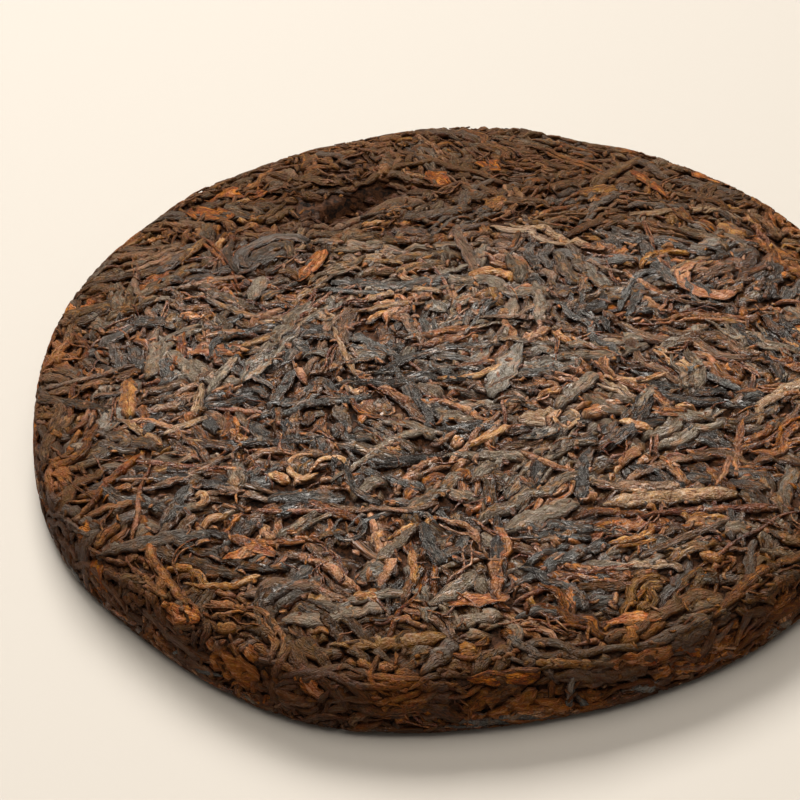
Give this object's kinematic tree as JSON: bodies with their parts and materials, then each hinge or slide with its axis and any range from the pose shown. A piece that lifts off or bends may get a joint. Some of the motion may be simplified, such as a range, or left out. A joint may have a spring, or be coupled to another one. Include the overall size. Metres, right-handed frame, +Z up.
{
  "type": "pu erh tea cake",
  "caption": "Round, gently domed cake of pressed dark tea leaf, upright at the side and flat underneath, with an uneven outline and shallow hollows on top.",
  "frame": {"origin": "on the flat underside, at the centre of the cake's outline seen from above", "axes": "+Z up out of the domed face; -Y towards the viewer of the picture, so that the raised stretch of rim is at +Y; +X to the viewer's right"},
  "size_m": [0.1976, 0.1992, 0.0225],
  "materials": {
    "pressed_leaf": "dry, tightly pressed dark tea leaf, nearly matt"
  },
  "bodies": {
    "root": {"tea_cake": "pressed_leaf"}
  },
  "joints": []
}
